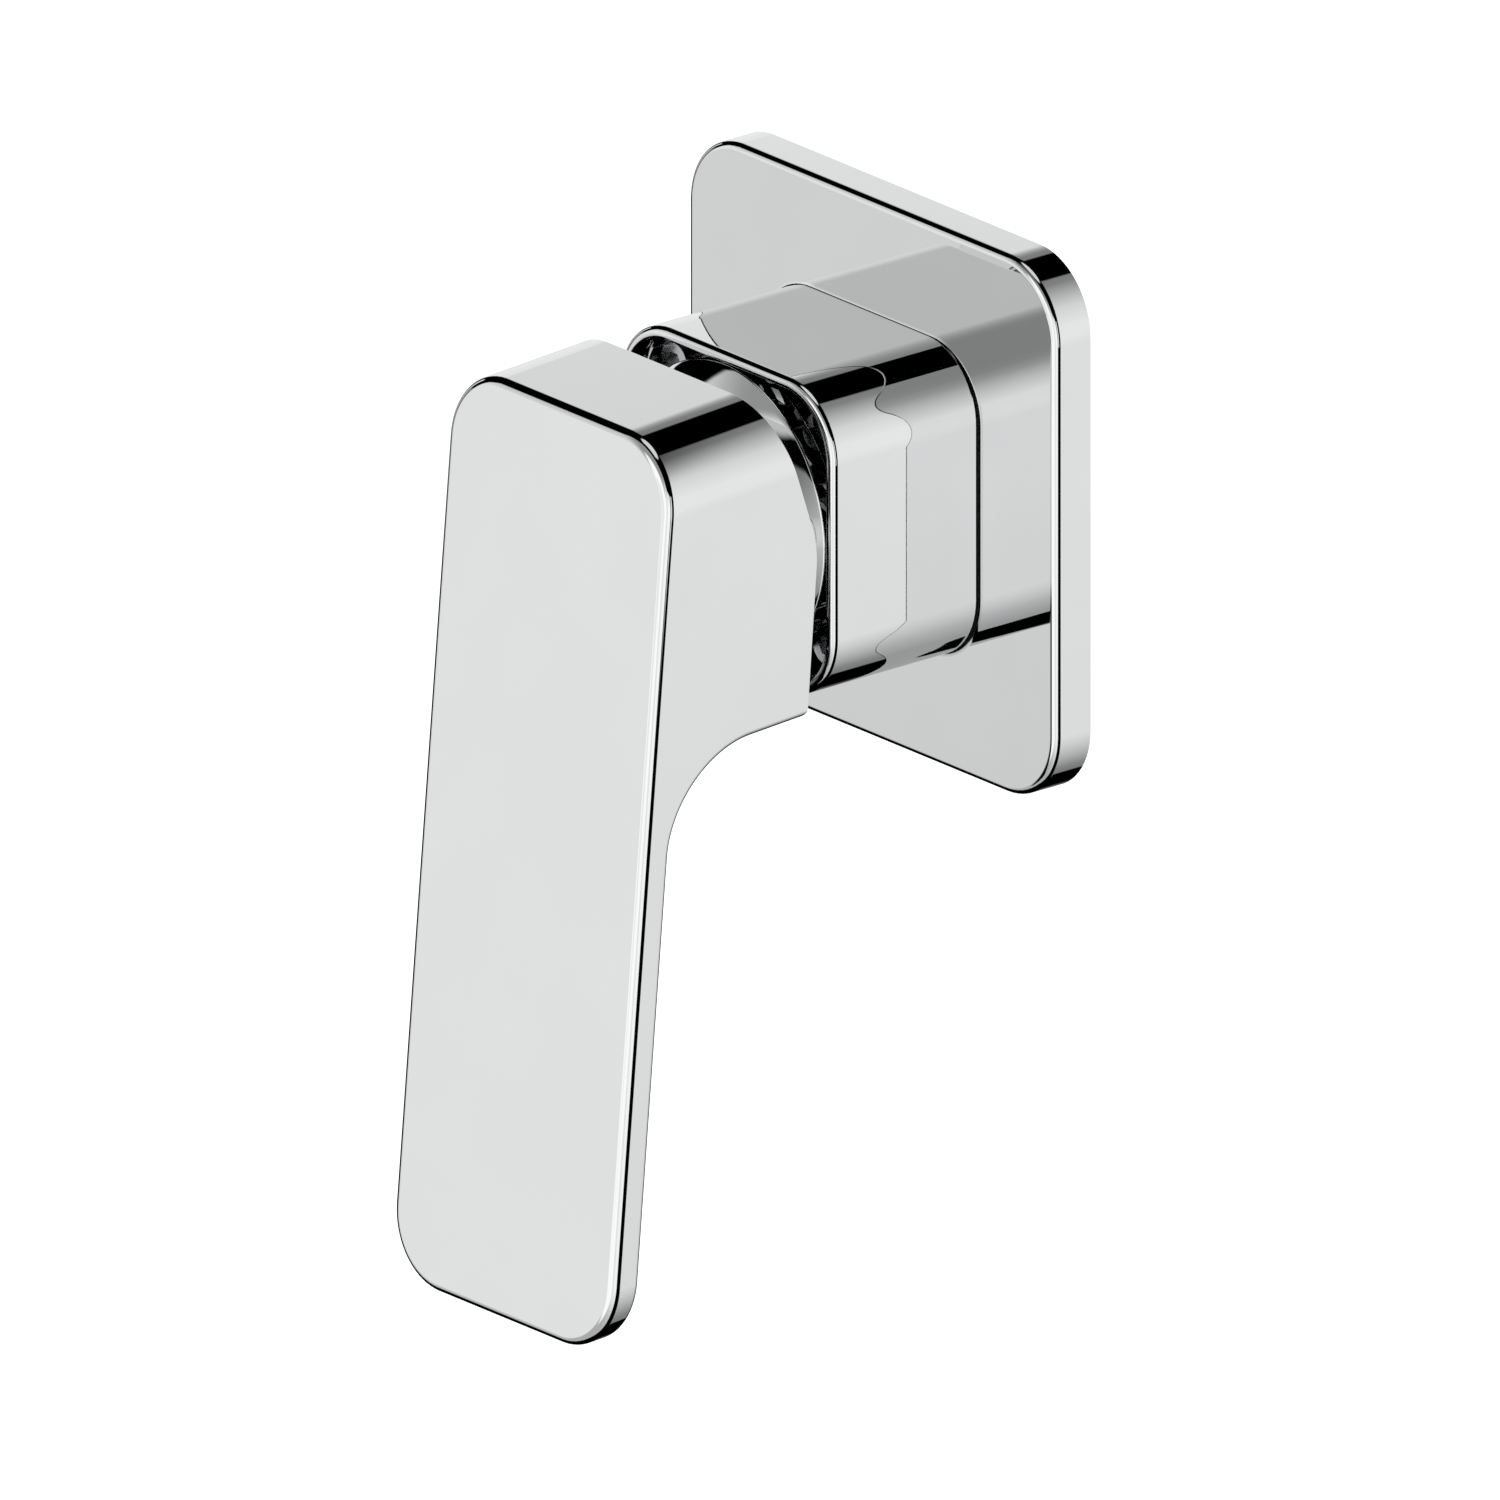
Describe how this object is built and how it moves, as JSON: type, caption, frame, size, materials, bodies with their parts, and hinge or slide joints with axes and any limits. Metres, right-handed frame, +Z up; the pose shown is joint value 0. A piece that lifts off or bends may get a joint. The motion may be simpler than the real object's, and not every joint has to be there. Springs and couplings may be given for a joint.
{
  "type": "shower mixer trim",
  "caption": "Wall-mounted single-lever shower mixer trim with square wall plate, rounded-square sleeve, dome and a lever handle with a long flat paddle.",
  "frame": {"origin": "centre of the mounting flange's back, on the wall plane", "axes": "+Z up, -Y out of the wall, +X to the right seen from the front"},
  "size_m": [0.08, 0.0737, 0.1501],
  "materials": {
    "chrome": "polished",
    "steel": "satin",
    "brass": "machined",
    "plated_brass": "nickel plated",
    "rubber": "matte",
    "foam": "matte foam",
    "grey_plastic": "moulded",
    "white_plastic": "moulded",
    "red_plastic": "moulded",
    "cap_plastic": "gloss",
    "ceramic": "lapped"
  },
  "bodies": {
    "trim": {"wall_gasket": "foam", "wall_plate": "chrome", "plate_seal": "rubber", "sleeve": "chrome", "mounting_flange": "steel", "port_orings": "rubber", "mixer_block": "plated_brass", "block_screws": "steel", "sleeve_oring": "rubber", "base_seals": "rubber", "base_oring": "rubber", "cartridge_base": "grey_plastic", "fixed_disc": "ceramic", "cartridge_case": "white_plastic", "retaining_nut": "brass", "limit_ring": "red_plastic", "dome_cover": "chrome"},
    "swivel": {"stem_carrier": "grey_plastic", "pivot_pin": "steel"},
    "lever": {"lever_stem": "steel", "handle": "chrome", "grub_screw": "steel", "screw_cap": "cap_plastic"},
    "slider": {"disc_coupler": "grey_plastic", "moving_disc": "ceramic"}
  },
  "joints": [
    {"name": "temperature_swivel", "type": "hinge", "parent": "trim", "child": "swivel", "pos_m": [0, -0.02142, 0], "axis": [0, -1, 0], "range_deg": [-45, 45]},
    {"name": "lever_lift", "type": "hinge", "parent": "swivel", "child": "lever", "pos_m": [0, -0.02142, 0], "axis": [-1, 0, 0], "range_deg": [0, 20]},
    {"name": "disc_slide", "type": "slide", "parent": "swivel", "child": "slider", "axis": [0, 0, -1], "range_m": [0, 0.0017]}
  ],
  "couplings": [
    {"joint": "disc_slide", "follows": "lever_lift", "m_per_rad": 0.0045}
  ]
}
